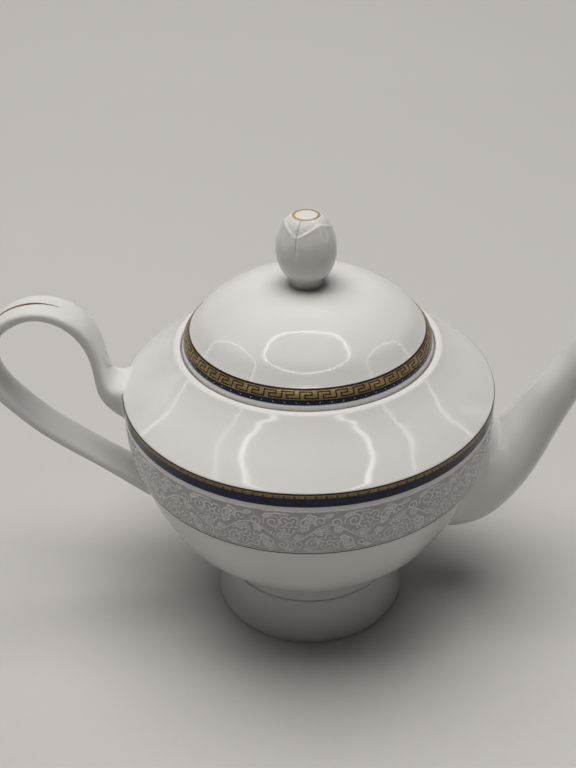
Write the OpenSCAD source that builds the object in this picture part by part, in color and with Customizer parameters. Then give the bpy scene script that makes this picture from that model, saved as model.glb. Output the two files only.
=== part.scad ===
// Porcelain teapot on a foot: body in two halves, spout with strainer, strap handle,
// lift-off lid with a rosebud knob, and the fired-on bands.
// Millimetres, +Z up. Origin: centre of the foot ring, on the table. Handle at -X, spout at +X.

/* [Body] */
// Widest radius of the body, at the shoulder edge
belly_r = 80; // [70:0.5:95]
// Wall of the body
body_wall = 3.5; // [2.5:0.1:5]
// Height of the seam between bowl and shoulder, under the cobalt band
seam_z = 113; // [108:0.5:116]
// Height of the joint between foot and bowl
foot_h = 22.7; // [16:0.1:30]
// Radius of the foot at the table
foot_r = 44.5; // [38:0.5:55]
// Width of the unglazed ring that the pot stands on
foot_ring_w = 3.5; // [2:0.1:6]

/* [Gallery] */
// Radius of the recess that holds the lid
gallery_r = 53.85; // [50:0.05:60]
// Height of the ledge that carries the lid
ledge_z = 133; // [125:0.5:140]
// Radius of the mouth below the ledge
mouth_r = 49.1; // [40:0.1:52]
// Height of the collar crest
collar_z = 136.6; // [134:0.1:142]

/* [Lid] */
// Radius of the lid rim
lid_r = 53.2; // [48:0.1:58]
// Wall of the lid
lid_wall = 3.2; // [2:0.1:5]
// Height of the lid crown, under the knob
crown_z = 163; // [155:0.5:175]
// Outer radius of the locating flange
flange_r = 46.6; // [40:0.1:48.5]
// Thickness of the flange
flange_t = 3; // [2:0.1:5]
// Depth of the flange below the ledge
flange_depth = 12; // [8:0.5:20]
// How far the lug stands out from the flange
lug_out = 2.2; // [1.5:0.1:2.4]
// Width of the lug
lug_w = 12; // [6:0.5:20]
// Radius of the steam vent
vent_r = 1.5; // [1:0.1:2.5]

/* [Knob] */
// Widest radius of the rosebud
knob_r = 12.6; // [9:0.1:16]
// Height of the knob above the crown
knob_h = 30.2; // [20:0.1:40]

/* [Strainer] */
// Radius of the pierced disc
strainer_r = 17; // [12:0.5:20]
// Radius of one hole
hole_r = 2; // [1.5:0.1:2.4]
// Spacing of the rings of holes
hole_pitch = 6; // [5:0.1:8]
// Height of the disc centre
strainer_z = 68; // [60:0.5:75]

/* [Spout and handle] */
// Wall of the spout
spout_wall = 3; // [2:0.1:4]
// Wall of the spout at its lip
lip_wall = 2.2; // [1.5:0.1:3]

/* [Bands] */
// Thickness of a fired-on band
band_t = 0.15; // [0.1:0.05:0.3]

/* [Hidden] */
$fn = 120;

porcelain = [0.93, 0.93, 0.91];
gold = [0.72, 0.53, 0.25];
cobalt = [0.07, 0.10, 0.30];
lace_grey = [0.74, 0.76, 0.77];

neck_r = 40.3;             // where the bowl stands on the foot
shoulder_edge_z = 117.2;   // crest of the sharp shoulder edge
gold_z = [114.7, 116.4];   // edges of the bands on the body, bottom and top
cobalt_z = [110.8, 114.7];
lace_line_z = [108.4, 109];
lace_z = [86.4, 107.9];
hairline_z = [84.9, 85.5];
lid_cobalt_z = [138.1, 140.1];
lid_gold_z = [140.1, 143.9];

knob_neck_r = 6.8;
ring_r = [5, 6.2];         // gold ring on the flat top of the knob
vent_y = 13.5;             // the vent is behind the knob
handle_gap_y = 12.5;       // the bands stop this far to each side of the handle
spout_gap_y = 17;          // and of the spout
gold_line_share = 0.2;     // half width of the handle's gold line, as a share of one facet

steps = 4;                 // points that a smooth line gets between two stations
spout_sides = 28;
handle_sides = 24;
strap_power = 3;           // 2 is an ellipse, more is a flatter strap

// Bowl outside, foot joint to seam: [radius, height]
bowl_stations = [
    [neck_r, foot_h], [40.6, 27], [44, 33.4], [52, 41], [62, 50], [68.1, 60], [72.5, 70],
    [75.8, 80], [78.5, 90], [79.8, 100], [belly_r, 107], [belly_r, seam_z]
];

// Lid outside, rim to crown: [radius, height]
dome_stations = [
    [52.4, 138.1], [52.1, 140.1], [49.4, 143.9], [44.2, 150], [39, 154], [32, 158],
    [22, 161.2], [12, 162.7], [7.6, crown_z]
];

// Knob outside, crown to top: [radius, height above the crown]
knob_stations = [
    [knob_neck_r, 0], [6.9, 1.8], [9, 5], [11.4, 9], [knob_r, 15.5], [12, 21], [9.6, 26.4],
    [7.6, 29.2], [6.6, knob_h]
];

// Spout, root to lip: [upper x, upper z, lower x, lower z, half width]
spout_stations = [
    [56, 95, 49, 45, 28],
    [74, 92, 67, 40.4, 25.8],
    [80.5, 90.6, 82.6, 45, 21.4],
    [84, 90.8, 92.2, 53.4, 17.6],
    [87, 93.4, 99.9, 64, 14.4],
    [90.4, 98.6, 105.6, 75.8, 12.2],
    [95, 106.3, 110.4, 88.6, 10.6],
    [106.4, 123.8, 122, 116.2, 9],
    [118.4, 145.4, 133.2, 139, 7.7],
    [127.4, 159.8, 139.9, 155.6, 7.2]
];

// Handle, upper root round the loop to the lower root:
// [outer x, outer z, inner x, inner z, half width]
handle_stations = [
    [-73, 117.8, -73, 98, 11.4],
    [-80, 118.6, -81.6, 101.5, 11.2],
    [-84.8, 120, -89.8, 110.8, 10.2],
    [-86.6, 125.6, -91.8, 119.5, 9.3],
    [-87.4, 132, -92.6, 128.4, 8.9],
    [-89.6, 140.6, -94.6, 135.6, 8.7],
    [-95.2, 148.8, -99, 143, 8.7],
    [-103.6, 153.9, -105.4, 148, 8.7],
    [-113, 155.6, -113, 149.8, 8.7],
    [-123.8, 153.1, -121.2, 147.5, 8.7],
    [-133, 146, -128.4, 141.8, 8.7],
    [-138.4, 136, -132.6, 134, 8.7],
    [-140, 125.5, -134, 125.5, 8.7],
    [-137.6, 115.6, -131.8, 118, 8.7],
    [-131.3, 106.6, -126.6, 110.4, 8.7],
    [-120.4, 94.6, -116.8, 99.2, 8.7],
    [-105.8, 82.6, -102.8, 87.4, 8.7],
    [-91.6, 72.1, -89.2, 77.2, 8.9],
    [-79.6, 62.6, -79, 70.4, 9.6],
    [-60, 48, -60, 62, 11]
];
line_from = 8 * steps;     // the gold line runs between these rings of the handle
line_to = 13 * steps;

// ---- curves ----

// The cubic that runs through b and c with the slopes that a and d give it
function through(a, b, c, d, t) =
    b + 0.5 * t * ((c - a) + t * ((2 * a - 5 * b + 4 * c - d) + t * (3 * b - a - 3 * c + d)));

function smooth(p, n = steps) = concat(
    [for (i = [0 : len(p) - 2], s = [0 : n - 1])
        through(p[max(i - 1, 0)], p[i], p[i + 1], p[min(i + 2, len(p) - 1)], s / n)],
    [p[len(p) - 1]]);

function reversed(p) = [for (i = [len(p) - 1 : -1 : 0]) p[i]];

// The line moved to its left by d, square to itself
function moved(p, d) = [
    for (i = [0 : len(p) - 1])
        let (t = p[min(i + 1, len(p) - 1)] - p[max(i - 1, 0)])
        p[i] + d * [-t[1], t[0]] / norm(t)];

function radius_at(line, z) = lookup(z, [for (p = line) [p[1], p[0]]]);

function part_of(line, z) = concat(
    [[radius_at(line, z[0]), z[0]]],
    [for (p = line) if (p[1] > z[0] + 0.05 && p[1] < z[1] - 0.05) p],
    [[radius_at(line, z[1]), z[1]]]);

bowl_line = smooth(bowl_stations);
dome_line = smooth(dome_stations);

// ---- swept shapes ----

// A ring across a station: flatter sides as power grows, and smaller by inset all round
function ring_of(s, sides, power, inset, ahead) =
    let (
        mid = [s[0] + s[2], s[1] + s[3]] / 2,
        arm = [s[0] - s[2], s[1] - s[3]] / 2,
        up = arm / norm(arm),
        on = [-up[1], up[0]] * -ahead,
        h = norm(arm) - inset,
        w = s[4] - inset
    )
    [for (i = [0 : sides - 1])
        let (
            a = 360 * i / sides,
            y = w * sign(cos(a)) * pow(abs(cos(a)), 2 / power),
            d = h * sign(sin(a)) * pow(abs(sin(a)), 2 / power)
        )
        [mid[0] + on[0] + up[0] * d, y, mid[1] + on[1] + up[1] * d]];

// Two triangles for each cell between ring j and ring k
function wall_between(j, k, sides) = [
    for (i = [0 : sides - 1])
        let (n = (i + 1) % sides)
        each [
            [j * sides + i, j * sides + n, k * sides + n],
            [j * sides + i, k * sides + n, k * sides + i]
        ]];

// A solid bar through its rings
module bar(rings) {
    sides = len(rings[0]);
    last = len(rings) - 1;
    polyhedron(
        points = [for (r = rings) each r],
        faces = concat(
            [for (j = [0 : last - 1]) each wall_between(j, j + 1, sides)],
            [[for (i = [sides - 1 : -1 : 0]) i]],
            [[for (i = [0 : sides - 1]) last * sides + i]]));
}

// A tube whose rings go out along the outside and come back along the inside
module tube(rings) {
    sides = len(rings[0]);
    count = len(rings);
    polyhedron(
        points = [for (r = rings) each r],
        faces = [for (j = [0 : count - 1]) each wall_between(j, (j + 1) % count, sides)]);
}

// ---- shapes that several pieces share ----

// Everything inside the outside of the body, for trimming what is luted to it
module body_core() {
    rotate_extrude()
        polygon(concat(
            [[0, foot_h]],
            bowl_line,
            [[belly_r, 116.4], [79.6, shoulder_edge_z], [78.7, 118], [63.4, 130], [0, 130]]));
}

module bowl_shell() {
    inner = moved([for (p = bowl_line) if (p[1] > 35) p], body_wall);
    rotate_extrude()
        polygon(concat(
            [[0, 27]],
            [[30, 26.8], [35, 25.6], [neck_r - body_wall, 24], [neck_r - body_wall, foot_h]],
            bowl_line,
            reversed(inner),
            [[39, 34], [30, 31.3], [0, 30.5]]));
}

module port(r) {
    translate([50, 0, strainer_z])
        rotate([0, 90, 0])
            cylinder(r = r, h = 40);
}

// A thin skin on the outside of a turned line, between two heights
module skin(line, z) {
    inner = part_of(line, z);
    rotate_extrude()
        polygon(concat(inner, reversed(moved(inner, -band_t))));
}

// What the bands leave free where the handle and the spout are luted on
module root_gaps(spout_gap) {
    translate([-belly_r - 10, -handle_gap_y, 96])
        cube([40, 2 * handle_gap_y, 30]);
    if (spout_gap)
        translate([belly_r - 30, -spout_gap_y, 60])
            cube([40, 2 * spout_gap_y, 34]);
}

module body_band(z, spout_gap = false) {
    difference() {
        skin(concat(bowl_line, [[belly_r, gold_z[1]]]), z);
        root_gaps(spout_gap);
    }
}

function strap_rings() =
    [for (s = smooth(handle_stations)) ring_of(s, handle_sides, strap_power, 0, 0)];

// ---- the pot ----

module foot() {
    color(porcelain)
        rotate_extrude()
            polygon([
                [foot_r - foot_ring_w, 0], [foot_r, 0], [foot_r, 1.6], [43.6, 5.5], [42, 12],
                [40.9, 17], [40.3, 20.4], [40.9, 21], [41.1, 21.7], [40.8, 22.4], [neck_r, foot_h],
                [neck_r - body_wall, foot_h], [37, 18], [38.2, 10], [39.8, 4]
            ]);
}

module bowl() {
    color(porcelain)
        difference() {
            bowl_shell();
            port(strainer_r);
        }
}

module shoulder() {
    color(porcelain)
        rotate_extrude()
            polygon([
                [belly_r, seam_z], [belly_r, 116.4], [79.6, shoulder_edge_z], [78.7, 118],
                [73.6, 122.2], [68.3, 126.2], [63.4, 130], [58.9, 134], [57.4, 135.5],
                [56.6, 136.3], [55.4, collar_z], [54.4, collar_z - 0.1], [gallery_r, 136.1],
                [gallery_r, ledge_z + 0.6], [gallery_r - 0.6, ledge_z], [mouth_r + 0.4, ledge_z],
                [mouth_r, ledge_z - 0.4], [mouth_r, 129.7], [mouth_r + 0.5, 129.2], [57, 129.2],
                [60.5, 127.4], [70, 120.2], [74.8, 116.4], [76.2, 114.8],
                [belly_r - body_wall, seam_z]
            ]);
}

module strainer() {
    color(porcelain)
        difference() {
            intersection() {
                bowl_shell();
                port(strainer_r);
            }
            for (ring = [0 : 2], i = [0 : max(ring * 6, 1) - 1])
                translate([
                    0,
                    ring * hole_pitch * cos(60 * i / max(ring, 1)),
                    ring * hole_pitch * sin(60 * i / max(ring, 1))
                ])
                    port(hole_r);
        }
}

module spout() {
    s = smooth(spout_stations);
    n = len(s) - 1;
    out = [for (p = s) ring_of(p, spout_sides, 2, 0, 0)];
    lip = ring_of(s[n], spout_sides, 2, lip_wall / 2, lip_wall / 3);
    in = [for (i = [n : -1 : 0])
        ring_of(s[i], spout_sides, 2, lip_wall + (spout_wall - lip_wall) * (1 - i / n), 0)];
    color(porcelain)
        difference() {
            tube(concat(out, [lip], in));
            body_core();
        }
}

module handle() {
    color(porcelain)
        difference() {
            bar(strap_rings());
            body_core();
        }
}

// ---- bands on the pot ----

module shoulder_gold_band() {
    color(gold)
        body_band(gold_z);
}

module shoulder_cobalt_band() {
    color(cobalt)
        body_band(cobalt_z);
}

module lace_top_line() {
    color(porcelain)
        body_band(lace_line_z);
}

module lace_band() {
    color(lace_grey)
        body_band(lace_z, spout_gap = true);
}

module lace_gold_line() {
    color(gold)
        body_band(hairline_z, spout_gap = true);
}

module handle_gold_line() {
    top = handle_sides / 4;
    rings = strap_rings();
    strip = [
        for (j = [line_from : line_to])
            let (
                r = rings[j],
                a = r[top] + gold_line_share * (r[top - 1] - r[top]),
                b = r[top] + gold_line_share * (r[top + 1] - r[top]),
                across = r[top] - r[3 * top],
                lift = band_t * across / norm(across)
            )
            [a, r[top], b, b + lift, r[top] + lift, a + lift]];
    color(gold)
        bar(reversed(strip));
}

// ---- the lid ----

module lid() {
    inner = moved([for (p = dome_line) if (p[1] > 147) p], lid_wall);
    inner_wall = flange_r - flange_t;
    color(porcelain)
        difference() {
            rotate_extrude()
                polygon(concat(
                    [[inner_wall, ledge_z], [lid_r, ledge_z], [lid_r, 136.4], [52.9, 137.3]],
                    dome_line,
                    [[0, crown_z], [0, crown_z - lid_wall]],
                    reversed(inner),
                    [[45.3, 143.4], [45.3, 140.6], [44, 137.4], [inner_wall, 136]]));
            translate([0, vent_y, crown_z - 10])
                cylinder(r = vent_r, h = 20);
        }
}

module lid_flange() {
    color(porcelain)
        rotate_extrude()
            translate([flange_r - flange_t, ledge_z - flange_depth])
                square([flange_t, flange_depth]);
}

module lid_lug() {
    color(porcelain)
        intersection() {
            rotate_extrude()
                translate([flange_r, ledge_z - flange_depth])
                    square([lug_out, 4.5]);
            translate([0, -lug_w / 2, 0])
                cube([belly_r, lug_w, crown_z]);
        }
}

module knob() {
    color(porcelain)
        translate([0, 0, crown_z])
            rotate_extrude()
                polygon(concat([[0, 0]], smooth(knob_stations), [[0, knob_h]]));
}

module knob_gold_ring() {
    color(gold)
        rotate_extrude()
            translate([ring_r[0], crown_z + knob_h])
                square([ring_r[1] - ring_r[0], band_t]);
}

module lid_gold_band() {
    color(gold)
        skin(dome_line, lid_gold_z);
}

module lid_cobalt_band() {
    color(cobalt)
        skin(dome_line, lid_cobalt_z);
}

foot();
bowl();
shoulder();
strainer();
spout();
handle();
shoulder_gold_band();
shoulder_cobalt_band();
lace_top_line();
lace_band();
lace_gold_line();
handle_gold_line();
lid();
lid_flange();
lid_lug();
knob();
knob_gold_ring();
lid_gold_band();
lid_cobalt_band();
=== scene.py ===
import bpy
import numpy as np
from mathutils import Matrix


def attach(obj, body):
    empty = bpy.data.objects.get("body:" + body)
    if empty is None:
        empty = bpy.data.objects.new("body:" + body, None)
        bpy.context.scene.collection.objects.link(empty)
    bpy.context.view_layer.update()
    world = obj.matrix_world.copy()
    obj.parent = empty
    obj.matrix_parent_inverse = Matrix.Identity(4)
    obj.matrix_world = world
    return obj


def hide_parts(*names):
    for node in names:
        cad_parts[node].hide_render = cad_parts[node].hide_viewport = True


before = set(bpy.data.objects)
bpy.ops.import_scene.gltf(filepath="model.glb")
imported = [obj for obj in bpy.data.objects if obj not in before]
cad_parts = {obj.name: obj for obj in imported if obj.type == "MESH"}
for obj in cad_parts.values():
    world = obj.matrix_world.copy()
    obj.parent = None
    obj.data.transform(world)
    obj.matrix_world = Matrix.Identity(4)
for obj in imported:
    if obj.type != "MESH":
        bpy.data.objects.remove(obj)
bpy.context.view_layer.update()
mm = 0.001
print("frame loaded:", len(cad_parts), "nodes")

scene = bpy.context.scene


# the camera stands a little above the pot, in front of it

cameraPlan = {
    "place": (0, -384.1, 367.4),
    "turn": -1.30,       # degrees to the right
    "down": 33.47,       # degrees below level
    "roll": -1.34,
    "lens": 49.52,
    "sensor": 36,
}


# the view is a frame of three directions: ahead from the turn and the dip, right level, up across both
def placeCamera(plan):
    turn, down, roll = np.radians([plan["turn"], plan["down"], plan["roll"]])
    ahead = np.array([np.sin(turn) * np.cos(down), np.cos(turn) * np.cos(down), -np.sin(down)])
    level = np.array([np.cos(turn), -np.sin(turn), 0])
    up = np.cross(level, ahead)
    right = np.cos(roll) * level + np.sin(roll) * up
    above = -np.sin(roll) * level + np.cos(roll) * up
    turnMatrix = Matrix([list(row) for row in np.stack([right, above, -ahead], 1)])
    data = bpy.data.cameras.new("camera")
    data.sensor_width = plan["sensor"]
    data.lens = plan["lens"]
    data.clip_start = 0.01
    camera = bpy.data.objects.new("camera", data)
    camera.matrix_world = Matrix.Translation(np.array(plan["place"]) * mm) @ turnMatrix.to_4x4()
    scene.collection.objects.link(camera)
    scene.camera = camera


placeCamera(cameraPlan)


# curves

# natural cubic spline by distance along the stations: in each span the line is a + bs + cs^2 + ds^3,
# with slope and curvature that run on from span to span
def flow(stations, count, along=None):
    p = np.asarray(stations, float)
    q = p if along is None else along
    s = np.concatenate([[0], np.cumsum(np.hypot(*np.diff(q, axis=0).T))])
    h = np.diff(s)[:, None]
    slope = np.diff(p, axis=0) / h
    i = np.arange(1, len(p) - 1)
    ties = np.eye(len(p))
    ties[i, i - 1] = h[:-1, 0]
    ties[i, i] = 2 * (h[:-1, 0] + h[1:, 0])
    ties[i, i + 1] = h[1:, 0]
    pull = np.zeros_like(p)
    pull[1:-1] = 6 * np.diff(slope, axis=0)
    bend = np.linalg.solve(ties, pull)
    t = np.linspace(0, s[-1], count)
    k = np.clip(np.searchsorted(s, t, side="right") - 1, 0, len(h) - 1)
    d = (t - s[k])[:, None]
    first = slope[k] - h[k] * (2 * bend[k] + bend[k + 1]) / 6
    return p[k] + d * first + d**2 * bend[k] / 2 + d**3 * (bend[k + 1] - bend[k]) / (6 * h[k])


# each corner [x, y, radius] becomes (1-t)^2 a + 2t(1-t) corner + t^2 b, a and b being one radius away
# on either side of it
def rounded(corners, looped=True, steps=6):
    p = np.asarray(corners, float)
    before, after = np.roll(p, 1, 0)[:, :2] - p[:, :2], np.roll(p, -1, 0)[:, :2] - p[:, :2]
    before /= np.linalg.norm(before, axis=1)[:, None]
    after /= np.linalg.norm(after, axis=1)[:, None]
    t = np.linspace(0, 1, steps)[:, None]
    line = []
    for k, (x, y, radius) in enumerate(p):
        corner = np.array([x, y])
        if radius == 0 or (not looped and k in (0, len(p) - 1)):
            line.append(corner[None])
        else:
            a, b = corner + radius * before[k], corner + radius * after[k]
            line.append((1 - t) ** 2 * a + 2 * t * (1 - t) * corner + t**2 * b)
    return np.vstack(line)


# the same line with points put in at even steps wherever two are further apart than longest
def filled(line, longest, looped=False):
    line = np.vstack([line, line[:1]]) if looped else np.asarray(line)
    n = np.maximum(1, np.ceil(np.hypot(*np.diff(line, axis=0).T) / longest - 1e-6)).astype(int)
    k = np.repeat(np.arange(len(n)), n)
    t = (np.arange(n.sum()) - np.repeat(np.cumsum(n) - n, n)) / n[k]
    inner = line[k] + t[:, None] * (line[k + 1] - line[k])
    return inner if looped else np.vstack([inner, line[-1:]])


# the line moved to its left by d, square to itself
def movedLeft(line, d):
    run = np.gradient(line, axis=0)
    run /= np.linalg.norm(run, axis=1)[:, None]
    return line + d * np.stack([-run[:, 1], run[:, 0]], 1)


# meshes

# four-sided faces between the rows and columns of a grid of points
def gridFaces(rows, columns, rowsLooped=False, columnsLooped=True):
    j, i = np.meshgrid(
        np.arange(rows if rowsLooped else rows - 1),
        np.arange(columns if columnsLooped else columns - 1), indexing="ij")
    jn, im = (j + 1) % rows, (i + 1) % columns
    corners = [j * columns + i, j * columns + im, jn * columns + im, jn * columns + i]
    return np.stack(corners, -1).reshape(-1, 4)


# a grid of rows by columns of points as a closed skin: looped both ways, or closed by a fan to a middle
# point at the first and the last row
def gridSkin(grid, rowsLooped):
    rows, columns = grid.shape[:2]
    points = grid.reshape(-1, 3)
    quads = gridFaces(rows, columns, rowsLooped)
    if rowsLooped:
        return points, quads, np.zeros((0, 3), int)
    i = np.arange(columns)
    n = (i + 1) % columns
    low, high = rows * columns, rows * columns + 1
    top = (rows - 1) * columns
    fans = np.vstack([
        np.stack([np.full(columns, low), n, i], 1),
        np.stack([np.full(columns, high), top + i, top + n], 1)])
    return np.vstack([points, grid[0].mean(0), grid[-1].mean(0)]), quads, fans


# six times the volume that the faces close: the sum of a.(b x c) over their triangles
def facesVolume(points, quads, fans):
    threes = np.vstack([quads[:, [0, 1, 2]], quads[:, [0, 2, 3]], fans])
    a, b, c = (points[threes[:, k]] for k in range(3))
    return np.einsum("ij,ij->", a, np.cross(b, c))


# makes the piece, faces outwards, with sharp edges only where the faces meet at more than the angle
def makePiece(name, skin, materials, body, stands=(), paint=None, sharpAngle=40):
    points, quads, fans = skin
    if facesVolume(points, quads, fans) < 0:
        quads, fans = quads[:, ::-1], fans[:, ::-1]
    mesh = bpy.data.meshes.new(name)
    mesh.from_pydata((points * mm).tolist(), [], quads.tolist() + fans.tolist())
    for finish in materials:
        mesh.materials.append(finish)
    if paint is not None:
        mesh.polygons.foreach_set("material_index", paint.astype(np.int32))
    mesh.shade_smooth()
    mesh.set_sharp_from_angle(angle=np.radians(sharpAngle))
    piece = bpy.data.objects.new(name, mesh)
    scene.collection.objects.link(piece)
    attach(piece, body)
    if stands:
        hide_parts(*stands)
    print("made", name, len(points), "points")
    return piece


# a profile [radius, height] turned about the axis: x = r cos a, y = r sin a
def turnedGrid(profile, around):
    a = np.linspace(0, 2 * np.pi, around, endpoint=False)
    r, z = profile[:, :1], profile[:, 1:]
    return np.stack([r * np.cos(a), r * np.sin(a), z + 0 * a], -1)


# a hole cut square through a piece by a straight round bar, and the cut kept in its mesh
def cutRound(piece, start, end, radius, around=96):
    start, end = np.array(start, float), np.array(end, float)
    axis = (end - start) / np.linalg.norm(end - start)
    side = np.cross(axis, [0, 0, 1.0] if abs(axis[2]) < 0.9 else [1.0, 0, 0])
    side /= np.linalg.norm(side)
    other = np.cross(axis, side)
    a = np.linspace(0, 2 * np.pi, around, endpoint=False)[:, None]
    ring = radius * (np.cos(a) * side + np.sin(a) * other)
    points, quads, fans = gridSkin(np.stack([start + ring, end + ring]), False)
    if facesVolume(points, quads, fans) < 0:
        quads, fans = quads[:, ::-1], fans[:, ::-1]
    mesh = bpy.data.meshes.new("bar")
    mesh.from_pydata((points * mm).tolist(), [], quads.tolist() + fans.tolist())
    bar = bpy.data.objects.new("bar", mesh)
    scene.collection.objects.link(bar)
    cut = piece.modifiers.new("cut", "BOOLEAN")
    cut.object = bar
    cut.operation = "DIFFERENCE"
    cut.solver = "EXACT"
    bpy.context.view_layer.update()
    done = bpy.data.meshes.new_from_object(piece.evaluated_get(bpy.context.evaluated_depsgraph_get()))
    piece.modifiers.clear()
    old, piece.data = piece.data, done
    bpy.data.meshes.remove(old)
    bpy.data.objects.remove(bar)
    piece.data.set_sharp_from_angle(angle=np.radians(40))


# finishes

def newFinish(name):
    finish = bpy.data.materials.new(name)
    finish.use_nodes = True
    tree = finish.node_tree
    shader = next(n for n in tree.nodes if n.type == "BSDF_PRINCIPLED")
    place = tree.nodes.new("ShaderNodeTexCoord").outputs["Object"]
    return finish, tree, shader, place


def addNoise(tree, place, scale, detail=3.0, roughness=0.5):
    noise = tree.nodes.new("ShaderNodeTexNoise")
    noise.inputs["Scale"].default_value = scale
    noise.inputs["Detail"].default_value = detail
    noise.inputs["Roughness"].default_value = roughness
    tree.links.new(place, noise.inputs["Vector"])
    return noise.outputs["Fac"]


def addRamp(tree, value, stops):
    ramp = tree.nodes.new("ShaderNodeValToRGB")
    first, last = ramp.color_ramp.elements
    first.position, last.position = stops[0][0], stops[-1][0]
    first.color, last.color = (*stops[0][1], 1), (*stops[-1][1], 1)
    for position, color in stops[1:-1]:
        ramp.color_ramp.elements.new(position).color = (*color, 1)
    tree.links.new(value, ramp.inputs["Fac"])
    return ramp.outputs["Color"]


def addRange(tree, value, low, high, fromLow=0.3, fromHigh=0.7):
    span = tree.nodes.new("ShaderNodeMapRange")
    for name, number in (("From Min", fromLow), ("From Max", fromHigh), ("To Min", low), ("To Max", high)):
        span.inputs[name].default_value = number
    tree.links.new(value, span.inputs["Value"])
    return span.outputs["Result"]


def addBump(tree, value, depth, strength=1.0, under=None):
    bump = tree.nodes.new("ShaderNodeBump")
    bump.inputs["Strength"].default_value = strength
    bump.inputs["Distance"].default_value = depth
    tree.links.new(value, bump.inputs["Height"])
    if under is not None:
        tree.links.new(under, bump.inputs["Normal"])
    return bump.outputs["Normal"]


# puts a finish's colour, roughness and surface on its shader
def joinFinish(tree, shader, color, roughness, normal):
    for socket, value in (("Base Color", color), ("Roughness", roughness), ("Normal", normal)):
        tree.links.new(value, shader.inputs[socket])


def addMix(tree, share, a, b):
    mix = tree.nodes.new("ShaderNodeMix")
    mix.data_type = "RGBA"
    for socket, value in (("Factor_Float", share), ("A_Color", a), ("B_Color", b)):
        target = next(s for s in mix.inputs if s.identifier == socket)
        if isinstance(value, tuple):
            target.default_value = (*value, 1)
        elif isinstance(value, float):
            target.default_value = value
        else:
            tree.links.new(value, target)
    return next(s for s in mix.outputs if s.identifier == "Result_Color")


glazePlan = {
    "pale": (0.70, 0.69, 0.675),
    "deep": (0.665, 0.654, 0.637),
    "speck": (0.38, 0.33, 0.27),
}


# clear glaze on white porcelain: cloudy body colour, rare iron specks, a slow ripple and fine orange peel
def makeGlaze(plan):
    finish, tree, shader, place = newFinish("glazedPorcelain")
    clouds = addRamp(tree, addNoise(tree, place, 16, 4), [(0.32, plan["deep"]), (0.62, plan["pale"])])
    cells = tree.nodes.new("ShaderNodeTexVoronoi")
    cells.inputs["Scale"].default_value = 85
    tree.links.new(place, cells.inputs["Vector"])
    specks = addRamp(tree, cells.outputs["Distance"], [(0.015, (1, 1, 1)), (0.035, (0, 0, 0))])
    rare = addRamp(tree, addNoise(tree, place, 33, 1), [(0.60, (0, 0, 0)), (0.66, (1, 1, 1))])
    shader.inputs["Base Color"].default_value = (*plan["pale"], 1)
    spots = addMix(tree, rare, (0.0, 0.0, 0.0), specks)
    color = addMix(tree, spots, clouds, plan["speck"])
    roughness = addRange(tree, addNoise(tree, place, 60, 4), 0.07, 0.15)
    ripple = addBump(tree, addNoise(tree, place, 45, 2), 0.00012, 0.35)
    peel = addBump(tree, addNoise(tree, place, 420, 2), 0.00002, 0.35, ripple)
    joinFinish(tree, shader, color, roughness, peel)
    shader.inputs["IOR"].default_value = 1.52
    shader.inputs["Coat Weight"].default_value = 0.35
    shader.inputs["Coat Roughness"].default_value = 0.04
    shader.inputs["Subsurface Weight"].default_value = 0.12
    shader.inputs["Subsurface Radius"].default_value = (1.0, 0.8, 0.6)
    shader.inputs["Subsurface Scale"].default_value = 0.003
    return finish


# bare fired clay of the ring that stands on the table: matt, warm and sandy
def makeBisque():
    finish, tree, shader, place = newFinish("bareBisque")
    grain = addNoise(tree, place, 900, 4, 0.6)
    color = addRamp(tree, grain, [(0.35, (0.52, 0.45, 0.37)), (0.65, (0.72, 0.67, 0.59))])
    roughness = addRange(tree, addNoise(tree, place, 120), 0.7, 0.9)
    joinFinish(tree, shader, color, roughness, addBump(tree, grain, 0.00008, 0.6))
    return finish


# lustre of fine gold over the glaze: a faint brushed unevenness and a little wear
def makeGold(name, bright, dull, metal, rough):
    finish, tree, shader, place = newFinish(name)
    color = addRamp(tree, addNoise(tree, place, 120, 3, 0.5), [(0.30, dull), (0.68, bright)])
    roughness = addRange(tree, addNoise(tree, place, 90, 2), rough[0], rough[1])
    joinFinish(tree, shader, color, roughness, addBump(tree, addNoise(tree, place, 700, 2), 0.00001, 0.3))
    shader.inputs["Metallic"].default_value = metal
    return finish


# cobalt under the glaze: pooled darker and thinner patches
def makeCobalt():
    finish, tree, shader, place = newFinish("cobaltBlue")
    pools = addNoise(tree, place, 130, 4, 0.6)
    color = addRamp(tree, pools, [(0.35, (0.002, 0.005, 0.020)), (0.68, (0.005, 0.013, 0.055))])
    roughness = addRange(tree, addNoise(tree, place, 90), 0.10, 0.22)
    joinFinish(tree, shader, color, roughness, addBump(tree, pools, 0.00003, 0.4))
    shader.inputs["Specular IOR Level"].default_value = 0.25
    return finish


# printed grey of the frieze: fine stipple in a soft cloud
def makeLaceGrey():
    finish, tree, shader, place = newFinish("laceGrey")
    stipple = addNoise(tree, place, 1500, 2, 0.7)
    dots = addRamp(tree, stipple, [(0.38, (0.36, 0.36, 0.355)), (0.60, (0.47, 0.47, 0.462))])
    cloudStops = [(0.35, (0.38, 0.38, 0.375)), (0.65, (0.45, 0.448, 0.44))]
    clouds = addRamp(tree, addNoise(tree, place, 60, 3), cloudStops)
    roughness = addRange(tree, addNoise(tree, place, 150), 0.16, 0.30)
    joinFinish(tree, shader, addMix(tree, 0.5, dots, clouds), roughness, addBump(tree, stipple, 0.00002, 0.5))
    return finish


# raised white enamel: slightly matt, with a fine grain
def makeEnamel():
    finish, tree, shader, place = newFinish("whiteEnamel")
    grain = addNoise(tree, place, 700, 3, 0.6)
    color = addRamp(tree, grain, [(0.35, (0.66, 0.655, 0.64)), (0.65, (0.82, 0.815, 0.80))])
    joinFinish(tree, shader, color, addRange(tree, grain, 0.25, 0.40), addBump(tree, grain, 0.00002, 0.5))
    return finish


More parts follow.
